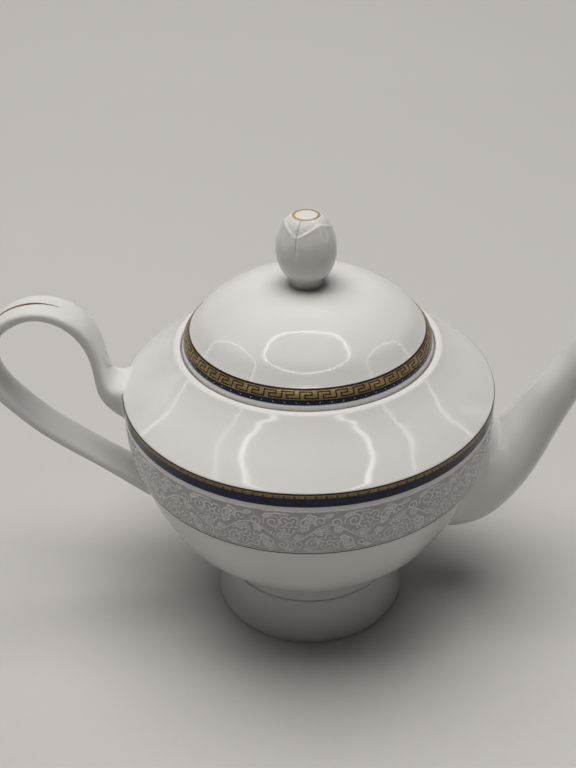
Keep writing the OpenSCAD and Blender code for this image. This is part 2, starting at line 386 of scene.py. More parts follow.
glaze = makeGlaze(glazePlan)
bisque = makeBisque()
gold = makeGold("goldLustre", (0.40, 0.30, 0.15), (0.33, 0.235, 0.11), 0.55, (0.22, 0.32))
goldBrown = makeGold("brownedGold", (0.26, 0.19, 0.095), (0.20, 0.14, 0.065), 0.5, (0.22, 0.34))
goldDark = makeGold("goldOutline", (0.030, 0.020, 0.011), (0.018, 0.012, 0.007), 0.2, (0.25, 0.40))
goldPale = makeGold("palerGold", (0.62, 0.47, 0.22), (0.50, 0.36, 0.16), 0.4, (0.18, 0.28))
cobalt = makeCobalt()
laceGrey = makeLaceGrey()
enamel = makeEnamel()
print("finishes made")


# the body: foot, bowl and shoulder

bodyPlan = {
    "around": 192,
    "wall": 3.5,
    "bowl": [
        (40.3, 22.7), (40.6, 27), (44, 33.4), (52, 41), (62, 50), (68.1, 60), (72.5, 70),
        (75.8, 80), (78.5, 90), (79.8, 100), (80, 107), (80, 113),
    ],
    "foot": [
        (41, 0, 0.3), (44.5, 0, 0.4), (44.5, 1.6, 0.4), (43.6, 5.5, 2), (42, 12, 2.4), (40.9, 17, 1.6),
        (40.3, 20.4, 0.3), (40.9, 21, 0.3), (41.1, 21.7, 0.3), (40.8, 22.4, 0.2), (40.3, 22.7, 0),
        (36.8, 22.7, 0), (37, 18, 2), (38.2, 10, 2), (39.8, 4, 1.5),
    ],
    "shoulder": [
        (80, 113, 0), (80, 116.4, 0.35), (79.6, 117.2, 0.35), (78.7, 118, 0.45), (73.6, 122.2, 3),
        (68.3, 126.2, 3), (63.4, 130, 2.6), (58.9, 134, 1), (57.4, 135.5, 0.6), (56.6, 136.3, 0.4),
        (55.4, 136.6, 0.4), (54.4, 136.5, 0.3), (53.85, 136.1, 0.25), (53.85, 133.3, 0.25),
        (53.25, 133, 0.3), (49.5, 133, 0.2), (49.1, 132.6, 0.2), (49.1, 129.7, 0.2), (49.6, 129.2, 0.3),
        (57, 129.2, 1.4), (60.5, 127.4, 2), (70, 120.2, 3), (74.8, 116.4, 1.6), (76.2, 114.8, 0.7),
        (76.5, 113, 0),
    ],
    "underside": [(0, 27), (30, 26.8), (35, 25.6), (36.6, 24.4), (36.8, 22.7)],
    "insideFloor": [(40.5, 35), (36, 32.7), (30, 31.3), (15, 30.6), (0, 30.5)],
    "port": 17,
    "portHeight": 68,
}

bowlOutside = flow(bodyPlan["bowl"], 150)
shoulderLine = filled(rounded(bodyPlan["shoulder"]), 1.2, looped=True)
outsideEnd = int(np.argmin(np.abs(shoulderLine[:, 0] - 55.4) + np.abs(shoulderLine[:, 1] - 136.6)))
bodyLine = np.vstack([bowlOutside[::2], shoulderLine[1:outsideEnd:2]])


# bowl: outside up, over the seam, inside down, and the underside, closed on the axis
def makeBowl(plan):
    inside = movedLeft(bowlOutside, plan["wall"])
    inside = inside[inside[:, 1] > 37][::-1]
    floorLine = flow(plan["insideFloor"], 24)
    under = flow(plan["underside"], 24)
    profile = np.vstack([under[1:-1], bowlOutside, filled(inside, 1.2), floorLine[:-1]])
    ends = np.array([under[0], floorLine[-1]])
    grid = turnedGrid(profile, plan["around"])
    points, quads, fans = gridSkin(grid, False)
    points[-2:] = [[0, 0, ends[0, 1]], [0, 0, ends[1, 1]]]
    bowl = makePiece("glazed_bowl", (points, quads, fans), [glaze], "pot", ["bowl"])
    cutRound(bowl, (50, 0, plan["portHeight"]), (90, 0, plan["portHeight"]), plan["port"])
    return bowl


# a looped profile turned about the axis
def makeTurned(name, line, materials, body, stands, around, paintRule=None):
    grid = turnedGrid(line, around)
    skin = gridSkin(grid, True)
    paint = None if paintRule is None else np.repeat(paintRule(line, np.roll(line, -1, 0)), around)
    return makePiece(name, skin, materials, body, stands, paint)


makeBowl(bodyPlan)
footLine = filled(rounded(bodyPlan["foot"], steps=5), 1.0, looped=True)
makeTurned(
    "glazed_foot", footLine, [glaze, bisque], "pot", ["foot"], bodyPlan["around"],
    lambda a, b: np.maximum(a[:, 1], b[:, 1]) < 0.45)     # bare clay where the ring meets the table
makeTurned("glazed_shoulder", shoulderLine, [glaze], "pot", ["shoulder"], bodyPlan["around"])
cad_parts["strainer"].data.materials.clear()
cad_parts["strainer"].data.materials.append(glaze)
print("body made")


# seating of the spout and the handle on the body

# distance of points from the turned body, its nearest points and its outward directions, all from the
# nearest stretch of the outline in the plane of radius and height
def onBody(points):
    r = np.maximum(np.hypot(points[..., 0], points[..., 1]), 1e-9)
    q = np.stack([r, points[..., 2]], -1)[..., None, :]
    a, run = bodyLine[:-1], np.diff(bodyLine, axis=0)
    t = np.clip(((q - a) * run).sum(-1) / (run**2).sum(-1), 0, 1)[..., None]
    away = q - (a + t * run)
    k = np.argmin((away**2).sum(-1), -1)
    out = np.stack([run[:, 1], -run[:, 0]], 1)
    out = (out / np.linalg.norm(out, axis=1)[:, None])[k]
    off = np.take_along_axis(away, k[..., None, None], -2)[..., 0, :]
    gap = np.linalg.norm(off, axis=-1) * np.sign((off * out).sum(-1) + 1e-12)
    spoke = points[..., :2] / r[..., None]
    near = q[..., 0, :] - off
    nearest = np.concatenate([spoke * near[..., :1], near[..., 1:]], -1)
    outward = np.concatenate([spoke * out[..., :1], out[..., 1:]], -1)
    return gap, nearest, outward


# reads each column of values at the distances t, where s holds the distances of its points: the columns
# are laid end to end, so that one search serves them all
def readColumns(s, values, t):
    n, columns = s.shape
    shift = np.arange(columns) * (max(s.max(), t.max()) + 1)
    flat = (s + shift).T.ravel()
    k = np.searchsorted(flat, (t + shift).T.ravel(), side="right") - 1
    start = np.repeat(np.arange(columns) * n, t.shape[0])
    k = np.clip(k, start, start + n - 2)
    f = ((t + shift).T.ravel() - flat[k]) / (flat[k + 1] - flat[k])
    v = values.transpose(1, 0, 2).reshape(-1, values.shape[2])
    return (v[k] + f[:, None] * (v[k + 1] - v[k])).reshape(columns, t.shape[0], -1).transpose(1, 0, 2)


# seats the first end of a swept grid: each column starts one radius out across the body, and runs up
# to the wall along (1-t)^2 edge + 2t(1-t) corner + t^2 wall, the corner being where it leaves the body
def seated(grid, radius, sink, steps, rings):
    gap = onBody(grid)[0]
    last = grid.shape[0] - 1 - np.argmax((gap < 0)[::-1], 0)
    c = np.arange(grid.shape[1])
    f = gap[last, c] / (gap[last, c] - gap[last + 1, c])
    corner = grid[last, c] + f[:, None] * (grid[last + 1, c] - grid[last, c])
    stretch = np.linalg.norm(np.diff(grid, axis=0), axis=2)
    length = np.concatenate([np.zeros((1, len(c))), np.cumsum(stretch, 0)])
    start = length[last, c] + f * (length[last + 1, c] - length[last, c])
    t = np.linspace(0, 1, rings)[:, None]
    wall = readColumns(length, grid, start + radius + t * (length[-1] - start - radius))
    if radius == 0:
        return np.concatenate([corner[None] - sink * onBody(corner)[2][None], wall])
    across = np.cross(np.roll(corner, -1, 0) - np.roll(corner, 1, 0), wall[0] - corner)
    across *= np.sign(((corner - corner.mean(0)) * across).sum(1))[:, None]
    outward = onBody(corner)[2]
    across -= (across * outward).sum(1)[:, None] * outward
    across /= np.linalg.norm(across, axis=1)[:, None]
    edge, edgeOut = onBody(corner + radius * across)[1:]
    edge = edge - 0.04 * edgeOut     # a hair under the glaze, so that no line of light shows
    u = np.linspace(0, 1, steps)[:, None, None]
    curve = (1 - u) ** 2 * edge + 2 * u * (1 - u) * corner + u**2 * wall[0]
    return np.concatenate([(edge - sink * edgeOut)[None], curve[:-1], wall])


# rings across the stations [outer x, z, inner x, z, half width]: w sign(cos)|cos|^(2/power) to the side,
# h sign(sin)|sin|^(2/power) up
def sweptGrid(stations, power, sides, inset=0.0, ahead=0.0):
    s = np.asarray(stations)
    middle, arm = (s[:, 0:2] + s[:, 2:4]) / 2, (s[:, 0:2] - s[:, 2:4]) / 2
    h = np.linalg.norm(arm, axis=1)[:, None]
    up = arm / h
    on = np.stack([up[:, 1], -up[:, 0]], 1)
    a = np.linspace(0, 2 * np.pi, sides, endpoint=False)
    inset, ahead = np.reshape(inset, (-1, 1)), np.reshape(ahead, (-1, 1))
    y = (s[:, 4:5] - inset) * np.sign(np.cos(a)) * np.abs(np.cos(a)) ** (2 / power)
    d = (h - inset) * np.sign(np.sin(a)) * np.abs(np.sin(a)) ** (2 / power)
    flat = middle[:, None] + (ahead * on)[:, None] + up[:, None] * d[..., None]
    return np.stack([flat[..., 0], y, flat[..., 1]], -1)


def flowStations(stations, count):
    s = np.asarray(stations, float)
    return flow(s, count, (s[:, 0:2] + s[:, 2:4]) / 2)


spoutPlan = {
    "stations": [   # upper x, z, lower x, z, half width
        (56, 95, 49, 45, 28), (74, 92, 67, 40.4, 25.8), (80.5, 90.6, 82.6, 45, 21.4),
        (84, 90.8, 92.2, 53.4, 17.6), (87, 93.4, 99.9, 64, 14.4), (90.4, 98.6, 105.6, 75.8, 12.2),
        (95, 106.3, 110.4, 88.6, 10.6), (106.4, 123.8, 122, 116.2, 9), (118.4, 145.4, 133.2, 139, 7.7),
        (127.4, 159.8, 139.9, 155.6, 7.2),
    ],
    "sides": 96,
    "wallAtRoot": 3,
    "wallAtLip": 2.2,
    "fillet": 7,
}


# spout: outside from the body to the lip, half a circle over the lip, and back down the channel
def makeSpout(plan):
    s = flowStations(plan["stations"], 260)
    outside = seated(sweptGrid(s, 2, plan["sides"]), plan["fillet"], 1.2, 12, 120)
    walls = np.linspace(plan["wallAtRoot"], plan["wallAtLip"], len(s))
    inside = seated(sweptGrid(s, 2, plan["sides"], walls), 0, 1.2, 0, 70)
    turn = np.linspace(0, np.pi, 9)[1:-1]
    half = plan["wallAtLip"] / 2
    lipRings = np.repeat(s[-1:], len(turn), 0)
    lip = sweptGrid(lipRings, 2, plan["sides"], half * (1 - np.cos(turn)), half * np.sin(turn))
    grid = np.concatenate([outside, lip, inside[::-1]])
    skin = gridSkin(grid, True)
    return makePiece("glazed_spout", skin, [glaze], "pot", ["spout"], sharpAngle=60)


handlePlan = {
    "stations": [   # outer x, z, inner x, z, half width
        (-73, 117.8, -73, 98, 11.4), (-80, 118.6, -81.6, 101.5, 11.2), (-84.8, 120, -89.8, 110.8, 10.2),
        (-86.6, 125.6, -91.8, 119.5, 9.3), (-87.4, 132, -92.6, 128.4, 8.9),
        (-89.6, 140.6, -94.6, 135.6, 8.7), (-95.2, 148.8, -99, 143, 8.7),
        (-103.6, 153.9, -105.4, 148, 8.7), (-113, 155.6, -113, 149.8, 8.7),
        (-123.8, 153.1, -121.2, 147.5, 8.7), (-133, 146, -128.4, 141.8, 8.7),
        (-138.4, 136, -132.6, 134, 8.7), (-140, 125.5, -134, 125.5, 8.7),
        (-137.6, 115.6, -131.8, 118, 8.7), (-131.3, 106.6, -126.6, 110.4, 8.7),
        (-120.4, 94.6, -116.8, 99.2, 8.7), (-105.8, 82.6, -102.8, 87.4, 8.7),
        (-91.6, 72.1, -89.2, 77.2, 8.9), (-79.6, 62.6, -79, 70.4, 9.6), (-60, 48, -60, 62, 11),
    ],
    "sides": 72,
    "power": 3,
    "filletTop": 3,
    "filletLow": 3.5,
    "line": (0.27, 0.60),        # the gold stroke's start and end, as shares of the loop
    "lineHalfWidth": 0.85,
    "lineSide": -1.2,            # drawn a little to one side of the middle
    "lineLift": 0.12,
}


# handle: a flattened strap round the loop, seated on the body at both roots
def makeHandle(plan):
    s = flowStations(plan["stations"], 420)
    grid = sweptGrid(s, plan["power"], plan["sides"])
    half = len(grid) // 2
    upper = seated(grid[:half], plan["filletTop"], 1.2, 8, 110)
    lower = seated(grid[half - 1:][::-1], plan["filletLow"], 1.2, 8, 110)
    whole = np.concatenate([upper, lower[::-1][1:]])
    makePiece("glazed_handle", gridSkin(whole, False), [glaze], "pot", ["handle"], sharpAngle=60)
    return s


# gold stroke along the back of the strap: a low arch across, its width falling to nothing at both ends
def makeHandleStroke(plan, s):
    first, last = (int(round(share * (len(s) - 1))) for share in plan["line"])
    s = s[first:last + 1]
    arm = s[:, 0:2] - s[:, 2:4]
    up = arm / np.linalg.norm(arm, axis=1)[:, None]
    t = np.linspace(0, 1, len(s))
    width = plan["lineHalfWidth"] * np.minimum(1, 6 * np.minimum(t, 1 - t) + 0.12)
    a = np.linspace(0, 2 * np.pi, 8, endpoint=False)
    y = plan["lineSide"] + width[:, None] * np.cos(a)
    lift = plan["lineLift"] * np.sin(a) + 0.0 * y
    flat = s[:, None, 0:2] + up[:, None] * lift[..., None]
    grid = np.stack([flat[..., 0], y, flat[..., 1]], -1)
    skin = gridSkin(grid, False)
    makePiece("handle_gold_stroke", skin, [goldBrown], "pot", ["handle_gold_line"], sharpAngle=80)


makeSpout(spoutPlan)
makeHandleStroke(handlePlan, makeHandle(handlePlan))
print("spout and handle made")


# the lid, its deep ring and its lug

lidPlan = {
    "around": 192,
    "wall": 3.2,
    "rim": [
        (43.6, 133, 0.2), (53.2, 133, 0.5), (53.2, 136.4, 0.4), (52.9, 137.3, 0.4),
    ],
    "dome": [
        (52.4, 138.1), (52.1, 140.1), (49.4, 143.9), (44.2, 150), (39, 154), (32, 158),
        (22, 161.2), (12, 162.7), (7.6, 163), (0, 163.1),
    ],
    "insideFoot": [
        (45.3, 143.4, 0.8), (45.3, 140.6, 0.6), (44, 137.4, 0.6), (43.6, 136, 0.4), (43.6, 133, 0),
    ],
    "vent": 1.5,
    "ventPlace": 13.5,
    "ring": [(43.6, 133, 0), (43.6, 121, 1.1), (46.6, 121, 1.1), (46.6, 133, 0)],
    "lug": [(46.2, 121.2, 0.8), (48.8, 121.2, 0.9), (48.8, 125.3, 0.9), (46.2, 125.3, 0.5)],
    "lugHalfWidth": 5.8,
}
domeOutside = flow(lidPlan["dome"], 110)


# lid: rim, dome, over the crown and back inside, closed on the axis
def makeLid(plan):
    inner = movedLeft(domeOutside, plan["wall"])
    inner = inner[(inner[:, 1] > 146) & (inner[:, 0] > 0.5)][::-1]
    foot = rounded([(*inner[-1], 0)] + plan["insideFoot"], looped=False)[1:]
    rim = rounded(plan["rim"] + [(*domeOutside[0], 0)], looped=False)
    outer = np.vstack([rim[:-1], domeOutside[:-1]])
    profile = np.vstack([filled(outer, 1.2)[::-1], filled(foot, 1.2)[::-1], inner[::-1]])
    points, quads, fans = gridSkin(turnedGrid(profile, plan["around"]), False)
    points[-2:] = [[0, 0, domeOutside[-1, 1]], [0, 0, inner[0, 1]]]
    lid = makePiece("glazed_lid", (points, quads, fans), [glaze], "lid", ["lid"])
    cutRound(lid, (0, plan["ventPlace"], 150), (0, plan["ventPlace"], 175), plan["vent"], 32)


# lug: the rounded section carried round the ring, shrunk towards its middle at both ends
def makeLug(plan):
    section = rounded(plan["lug"], steps=5)
    middle = section.mean(0)
    t = np.linspace(-1, 1, 15)
    size = np.sqrt(np.clip(1 - np.maximum(0, np.abs(t) - 0.82) ** 2 / 0.18**2, 0.02, 1)) ** 0.6
    shape = middle + (section - middle) * size[:, None, None]
    a = t[:, None] * plan["lugHalfWidth"] / section[:, 0].max()
    grid = np.stack([shape[..., 0] * np.cos(a), shape[..., 0] * np.sin(a), shape[..., 1]], -1)
    makePiece("lid_stop_lug", gridSkin(grid, False), [glaze], "lid", ["lid_lug"], sharpAngle=60)


makeLid(lidPlan)
makeTurned(
    "lid_deep_ring", filled(rounded(lidPlan["ring"]), 1.2, looped=True), [glaze], "lid",
    ["lid_flange"], lidPlan["around"])
makeLug(lidPlan)
print("lid made")


# the rosebud knob

knobPlan = {
    "base": 163,
    "profile": [
        (6.8, 0), (6.9, 1.8), (9, 5), (11.4, 9), (12.6, 15.5), (12, 21), (9.9, 26.4), (8.6, 28.8),
        (7.2, 30.1),
    ],
    "around": 240,
    "rows": 150,
    "petals": 3,
    "seam": -113,         # degrees, where two outer petals meet in front
    "outerRim": (28.9, 4.4, 1.35),     # height in a petal's middle, fall to its sides, and the fall's power
    "innerRim": (28.4, 9, 1.2),
    "bulge": 0.4,         # how much lower a petal's sides lie than its middle
    "lap": 0.6,           # step where one petal's side lies over the next
    "outerStep": 0.32,
    "innerStep": 0.16,
    "lean": 0.15,         # how fast the bud draws in above the outer rim
    "ring": (4.5, 5.7),
    "ringHeight": 30.2,
}


# 0 below zero, 1 above one, and 3t^2 - 2t^3 between
def ease(t):
    t = np.clip(t, 0, 1)
    return t * t * (3 - 2 * t)


# knob: the turned bud r(h), with each petal laid on as a step. A petal ends at the height
# rim - fall |u|^power, u running from -1 to 1 across it, and above that the bud is one step thinner and
# leans in. The crown is closed by five rings, each a share of the last ring's radius
def makeKnob(plan):
    line = flow(plan["profile"], plan["rows"])
    a = np.linspace(0, 2 * np.pi, plan["around"], endpoint=False)[None]
    r, h = line[:, :1], line[:, 1:]
    seam = np.radians(plan["seam"])
    width = 2 * np.pi / plan["petals"]
    u = ((a - seam) / width % 1) * 2 - 1
    inner = ((a - seam) / width + 0.5) % 1 * 2 - 1
    outerRim, outerFall, outerPower = plan["outerRim"]
    innerRim, innerFall, innerPower = plan["innerRim"]
    outerTop = outerRim - outerFall * np.abs(u) ** outerPower
    innerTop = innerRim - innerFall * np.abs(inner) ** innerPower
    bulge = plan["bulge"] * (np.cos(u * np.pi / 2) - 1) * ease(h / 10) * ease((31 - h) / 8)
    lap = plan["lap"] * (1 - ease((u + 1) / 0.09)) * ease((h - 15) / 5) * (u < 0)
    lift = bulge - lap
    above = np.clip(h - outerTop, 0, 6)
    over = np.clip(h - np.maximum(innerTop, outerTop), 0, 3)
    lift = lift - plan["outerStep"] * ease(above / 0.4) - plan["lean"] * above
    lift = lift - plan["innerStep"] * ease(over / 0.35)
    lip = 0.05 * np.exp(-((h - outerTop + 0.4) / 0.4) ** 2)
    radius = r + lift + lip
    z = plan["base"] + h + 0 * a
    grid = np.stack([radius * np.cos(a), radius * np.sin(a), z], -1)
    caps = [np.stack([radius[-1:] * k * np.cos(a), radius[-1:] * k * np.sin(a), plan["base"] + t + 0 * a], -1)
            for k, t in ((0.93, 30.2), (0.8, 30.22), (0.6, 30.2), (0.4, 30.12), (0.2, 30.05))]
    grid = np.concatenate([grid] + caps)
    makePiece("rosebud_knob", gridSkin(grid, False), [glaze], "lid", ["knob"], sharpAngle=70)
    low, high = plan["ring"]
    t = np.linspace(0, 2 * np.pi, 12, endpoint=False)
    across = (low + high) / 2 + (high - low) / 2 * np.cos(t)
    section = np.stack([across, plan["base"] + plan["ringHeight"] + 0.22 * np.sin(t)], 1)
    makeTurned("bud_gold_ring", section, [goldPale], "lid", ["knob_gold_ring"], 96)


makeKnob(knobPlan)
print("knob made")


# bands

# points on a turned line between two heights: v is the share of the way up along the line, a the angle,
# and lift stands off square to the line
def onLine(line, heights, v, a, lift):
    s = np.concatenate([[0], np.cumsum(np.hypot(*np.diff(line, axis=0).T))])
    run = np.gradient(line, axis=0)
    run /= np.linalg.norm(run, axis=1)[:, None]
    low, high = np.interp(heights, line[:, 1], s)
    where = low + v * (high - low)
    r = np.interp(where, s, line[:, 0]) + lift * np.interp(where, s, run[:, 1])
    z = np.interp(where, s, line[:, 1]) - lift * np.interp(where, s, run[:, 0])
    return np.stack([r * np.cos(a), r * np.sin(a), z], -1)


bandPlan = {
    "around": 288,        # columns of a plain band
    "sink": 0.1,          # how far the inner side lies under the glaze
    "lift": 0.08,         # how far the outer side stands off it
    "lidLift": 0.10,
    "enamelLift": 0.12,
}


# a closed band: rows of cells on the outside from edge to edge, and one row back along the inside
def bandSkin(line, heights, rows, around, lift):
    a = np.linspace(0, 2 * np.pi, around, endpoint=False)[None]
    v = np.linspace(0, 1, rows + 1)[:, None] + 0 * a
    outer = onLine(line, heights, v, a + 0 * v, lift)
    back = np.array([[1.0], [0.0]]) + 0 * a
    inner = onLine(line, heights, back, a + 0 * back, -bandPlan["sink"])
    return gridSkin(np.concatenate([outer, inner]), True)


# the finish of each face of a patterned band: its cells, then the edges and the inside
def bandPaint(cells):
    return np.concatenate([cells.ravel(), np.zeros(3 * cells.shape[1], int)])


lidKeyPlan = {
    "heights": (140.1, 143.9),
    "cobalt": (138.15, 140.1),
    "units": 46,
    "cells": 24,          # across one unit
    "rows": 28,
    "dots": 72,
    "dotHeight": 139.1,
    "dotSize": 0.3,
}


# key pattern: 1 on the dark line, 0 on gold. One unit runs up, over, down, back, down and on to the next
def keyCells(plan):
    n, rows = plan["cells"], plan["rows"]
    art = np.zeros((rows, n), int)
    low, high, mid = 3, 21, 11         # rows that the figure stands in
    art[low:high, 0:2] = 1             # up
    art[high - 3:high, 0:18] = 1       # over
    art[mid:high, 16:18] = 1           # down
    art[mid:mid + 3, 7:18] = 1         # back
    art[low:mid, 7:9] = 1              # down
    art[low:low + 3, 7:] = 1           # on to the next
    art[0:1] = 1                       # thin line under
    art[rows - 5:] = 1                 # thick line over
    return np.tile(art, (1, plan["units"]))


def makeLidBands(plan):
    cells = keyCells(plan)
    skin = bandSkin(domeOutside, plan["heights"], *cells.shape, bandPlan["lidLift"])
    makePiece("lid_key_band", skin, [gold, goldDark], "lid", ["lid_gold_band"], bandPaint(cells))
    skin = bandSkin(domeOutside, plan["cobalt"], 4, bandPlan["around"], bandPlan["lidLift"])
    makePiece("lid_cobalt_line", skin, [cobalt], "lid", ["lid_cobalt_band"])


# beads of white enamel in a row: each a dome of rings r cos b wide and h sin b high
def makeBeads(name, line, height, count, size, body):
    b = np.linspace(-0.35, np.pi / 2 * 0.8, 4)[:, None]
    c = np.linspace(0, 2 * np.pi, 8, endpoint=False)[None]
    z = height + size * np.cos(b) * np.sin(c)
    s = np.interp(z, line[:, 1], line[:, 0]) + size * 0.45 * np.sin(b)
    a = 2 * np.pi * np.arange(count)[:, None, None] / count
    side = size * np.cos(b) * np.cos(c) + 0 * a
    x = s * np.cos(a) - side * np.sin(a)
    y = s * np.sin(a) + side * np.cos(a)
    beads = np.stack([x, y, z + 0 * a], -1)
    points, quads, fans = gridSkin(beads[0], False)
    step = len(points)
    middles = np.stack([beads[:, 0].mean(1), beads[:, -1].mean(1)], 1)
    points = np.concatenate([beads.reshape(count, -1, 3), middles], 1).reshape(-1, 3)
    more = (np.arange(count) * step)[:, None, None]
    skin = points, (quads + more).reshape(-1, 4), (fans + more).reshape(-1, 3)
    makePiece(name, skin, [enamel], body, sharpAngle=80)


makeLidBands(lidKeyPlan)
makeBeads(
    "lid_white_beads", domeOutside, lidKeyPlan["dotHeight"], lidKeyPlan["dots"], lidKeyPlan["dotSize"], "lid")

shoulderBandPlan = {
    "gold": (114.7, 116.95),
    "units": 126,
    "cobalt": (110.8, 114.7),
    "whiteLine": (108.4, 109.0),
    "lowLine": (85.75, 86.2),
    "hairline": (84.9, 85.5),
}
upperLine = np.vstack([bowlOutside[bowlOutside[:, 1] < 107], shoulderLine[:outsideEnd]])
upperLine = upperLine[np.concatenate([[True], np.hypot(*np.diff(upperLine, axis=0).T) > 0.02])]


# shoulder key band: dark edge over a gold strip with short hooked dashes, the cobalt line under it, and
# the fine lines above and below the frieze
def makeShoulderBands(plan):
    art = np.zeros((16, 8), int)
    art[0:2] = 1                 # fine line under
    art[2:9, 0:2] = 1            # gap between two dashes
    art[5:7, 3:6] = 1            # hook
    art[12:] = 1                 # dark edge over
    cells = np.tile(art, (1, plan["units"]))
    around, lift, enamelLift = bandPlan["around"], bandPlan["lift"], bandPlan["enamelLift"]
    skin = bandSkin(upperLine, plan["gold"], *cells.shape, lift)
    finishes, stands = [goldBrown, goldDark], ["shoulder_gold_band"]
    makePiece("shoulder_key_band", skin, finishes, "pot", stands, bandPaint(cells))
    skin = bandSkin(upperLine, plan["cobalt"], 6, around, lift)
    makePiece("shoulder_cobalt_line", skin, [cobalt], "pot", ["shoulder_cobalt_band"])
    skin = bandSkin(upperLine, plan["whiteLine"], 3, around, enamelLift)
    makePiece("lace_white_line", skin, [enamel], "pot", ["lace_top_line"])
    skin = bandSkin(upperLine, plan["lowLine"], 3, around, enamelLift)
    makePiece("lace_low_line", skin, [enamel], "pot")
    skin = bandSkin(upperLine, plan["hairline"], 3, around, lift)
    makePiece("lace_dark_hairline", skin, [goldDark], "pot", ["lace_gold_line"])


makeShoulderBands(shoulderBandPlan)
print("bands made")


# the lace frieze

lacePlan = {
    "heights": (86.4, 107.9),
    "tiles": 16,
    "tile": 31.4,         # length of one repeat
    "tall": 21.6,
    "width": 0.62,
    "relief": 0.12,
    "step": 0.62,         # longest stretch of a stroke between two of its points
}


# spiral: the radius falls from r to r * end while the angle runs from start by turns
def curl(x, y, r, start, turns, end=0.18, n=34):
    t = np.linspace(0, 1, n)
    a = np.radians(start) + 2 * np.pi * turns * t
    reach = r * (1 - (1 - end) * t)
    return np.stack([x + reach * np.cos(a), y + reach * np.sin(a)], 1)


# cubic curve pulled by four points
def sweep(*p):
    p = np.array(p, float)
    t = np.linspace(0, 1, 24)[:, None]
    return (1 - t) ** 3 * p[0] + 3 * t * (1 - t) ** 2 * p[1] + 3 * t**2 * (1 - t) * p[2] + t**3 * p[3]


# flower outline: the radius is r (0.58 + 0.42 |cos 2.5 a|^0.7), with a small round eye and five veins
def flower(x, y, r, turn):
    a = np.linspace(0, 2 * np.pi, 61)
    reach = r * (0.58 + 0.42 * np.abs(np.cos(2.5 * (a - np.radians(turn)))) ** 0.7)
    outline = np.stack([x + reach * np.cos(a), y + reach * np.sin(a)], 1)
    b = np.linspace(0, 2 * np.pi, 13)
    eye = np.stack([x + 0.26 * r * np.cos(b), y + 0.26 * r * np.sin(b)], 1)
    veins = [np.array([[x, y]]) + np.array([[0.36], [0.72]]) * r * np.array([[np.cos(c), np.sin(c)]])
             for c in np.radians(turn + 72 * np.arange(5))]
    return [outline, eye] + veins


# leaf outline: two sides w sin(pi t)^0.8 off the midrib, and the midrib
def leaf(x, y, turn, length, w):
    t = np.linspace(0, 1, 12)
    side = w * np.sin(np.pi * t) ** 0.8
    along = length * t
    up, down = np.stack([along, side], 1), np.stack([along, -side], 1)[::-1]
    rib = np.array([[0, 0], [0.75 * length, 0]])
    c, s = np.cos(np.radians(turn)), np.sin(np.radians(turn))
    spin = np.array([[c, s], [-s, c]])
    return [np.vstack([up, down[1:]]) @ spin + [x, y], rib @ spin + [x, y]]


# comb: short strokes square to a stretch of a stroke
def comb(line, first, last, count, length, side):
    k = np.linspace(first * (len(line) - 1), last * (len(line) - 1), count).astype(int)
    run = np.gradient(line, axis=0)[k]
    run /= np.linalg.norm(run, axis=1)[:, None]
    out = side * np.stack([-run[:, 1], run[:, 0]], 1)
    return [np.array([line[j] + 0.5 * o, line[j] + length * o]) for j, o in zip(k, out)]


